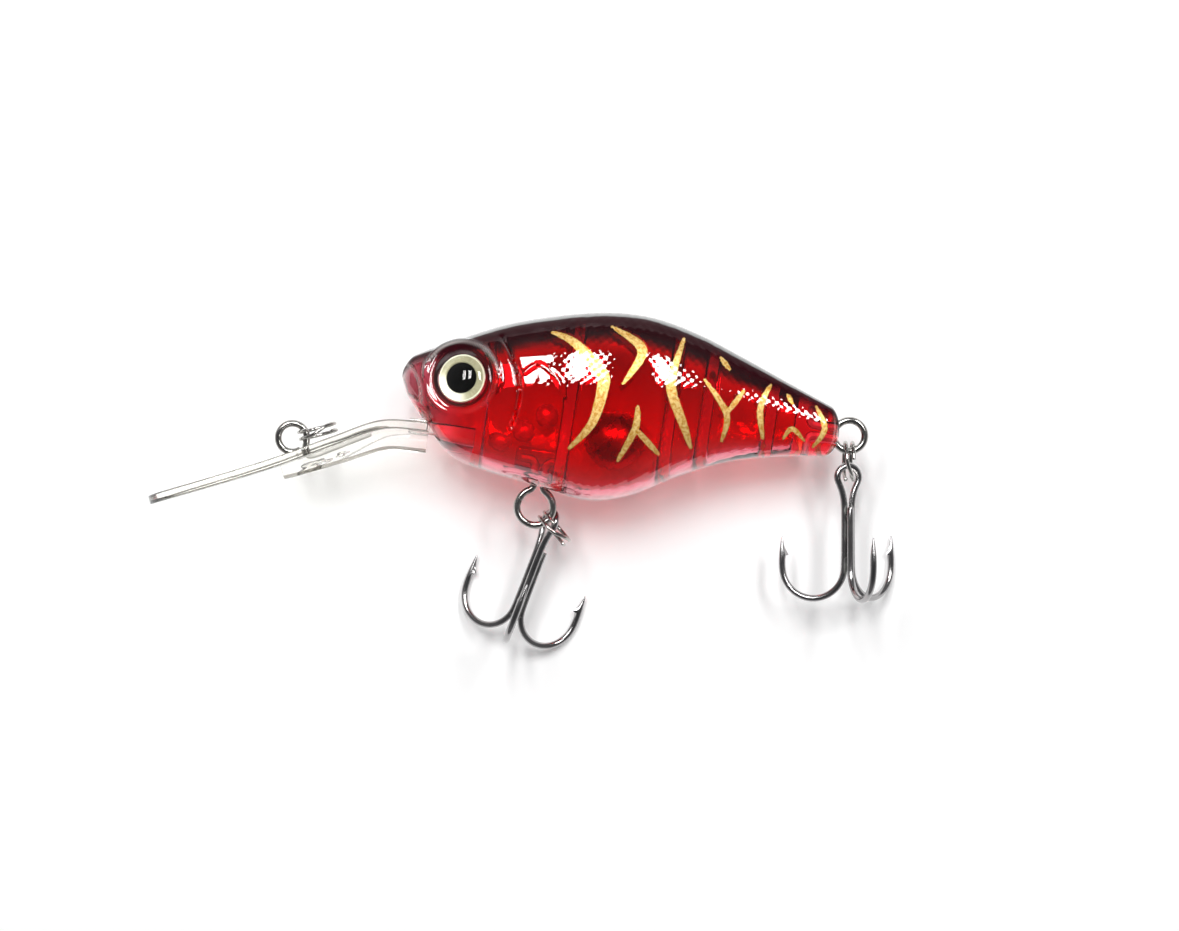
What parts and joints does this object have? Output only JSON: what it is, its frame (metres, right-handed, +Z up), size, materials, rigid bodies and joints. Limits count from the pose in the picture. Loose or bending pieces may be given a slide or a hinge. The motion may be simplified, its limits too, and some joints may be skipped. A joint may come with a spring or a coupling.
{
  "type": "crankbait lure",
  "caption": "Deep-diving crankbait lure: hollow clear-red minnow body with a long clear diving lip, domed eyes, split rings and swinging treble hooks.",
  "frame": {"origin": "on the table, under the middle of the lure as it lies on its right flank", "axes": "+X from the nose to the tail, +Y from the belly to the back, +Z up out of the left flank"},
  "size_m": [0.0996, 0.046, 0.0174],
  "materials": {
    "clear_red_plastic": "clear red moulded plastic, black on the back, gold bars, lacquered",
    "clear_plastic": "clear polycarbonate, polished",
    "wire_steel": "stainless wire, bright",
    "black_nickel": "black nickel plated steel",
    "eye_foil": "pale yellow printed eye with a black pupil",
    "eye_resin": "clear domed resin",
    "ball_steel": "bearing steel"
  },
  "bodies": {
    "body": {"left_shell": "clear_red_plastic", "right_shell": "clear_red_plastic", "diving_lip": "clear_plastic", "line_tie_wire": "wire_steel", "belly_hanger": "wire_steel", "tail_hanger": "wire_steel", "left_eye_disc": "eye_foil", "left_eye_dome": "eye_resin", "right_eye_disc": "eye_foil", "right_eye_dome": "eye_resin"},
    "line_ring": {"line_tie_ring": "wire_steel"},
    "belly_ring": {"belly_split_ring": "wire_steel"},
    "belly_hook": {"belly_hook_double": "black_nickel", "belly_hook_single": "black_nickel"},
    "tail_ring": {"tail_split_ring": "wire_steel"},
    "tail_hook": {"tail_hook_double": "black_nickel", "tail_hook_single": "black_nickel"},
    "ballast": {"ballast_ball": "ball_steel"},
    "rattle_1": {"rattle_ball_1": "ball_steel"},
    "rattle_2": {"rattle_ball_2": "ball_steel"},
    "rattle_3": {"rattle_ball_3": "ball_steel"}
  },
  "joints": [
    {"name": "line_ring_swing", "type": "hinge", "parent": "body", "child": "line_ring", "pos_m": [-0.03041, 0.00093, 0.0087], "axis": [-0.3907, 0.9205, 0], "range_deg": [-95, 75]},
    {"name": "belly_ring_swing", "type": "hinge", "parent": "body", "child": "belly_ring", "pos_m": [0.00268, -0.00564, 0.0087], "axis": [0.6428, 0.766, 0], "range_deg": [-80, 40]},
    {"name": "belly_hook_swing", "type": "hinge", "parent": "belly_ring", "child": "belly_hook", "pos_m": [0.00299, -0.00591, 0.00575], "axis": [-0.7051, 0.5917, 0.3907], "range_deg": [-50, 45]},
    {"name": "tail_ring_swing", "type": "hinge", "parent": "body", "child": "tail_ring", "pos_m": [0.04074, 0.00936, 0.0087], "axis": [0.989, 0.1478, 0], "range_deg": [-100, 45]},
    {"name": "tail_hook_swing", "type": "hinge", "parent": "tail_ring", "child": "tail_hook", "pos_m": [0.04124, 0.00598, 0.00657], "axis": [-0.0783, 0.5241, -0.848], "range_deg": [-60, 30]},
    {"name": "ballast_slide", "type": "slide", "parent": "body", "child": "ballast", "axis": [0, 0, 1], "range_m": [0, 0.00536]},
    {"name": "rattle_1_slide", "type": "slide", "parent": "body", "child": "rattle_1", "axis": [0, 0, 1], "range_m": [0, 0.0062]},
    {"name": "rattle_2_slide", "type": "slide", "parent": "body", "child": "rattle_2", "axis": [0, 0, 1], "range_m": [0, 0.00904]},
    {"name": "rattle_3_slide", "type": "slide", "parent": "body", "child": "rattle_3", "axis": [0, 0, 1], "range_m": [0, 0.01034]}
  ]
}
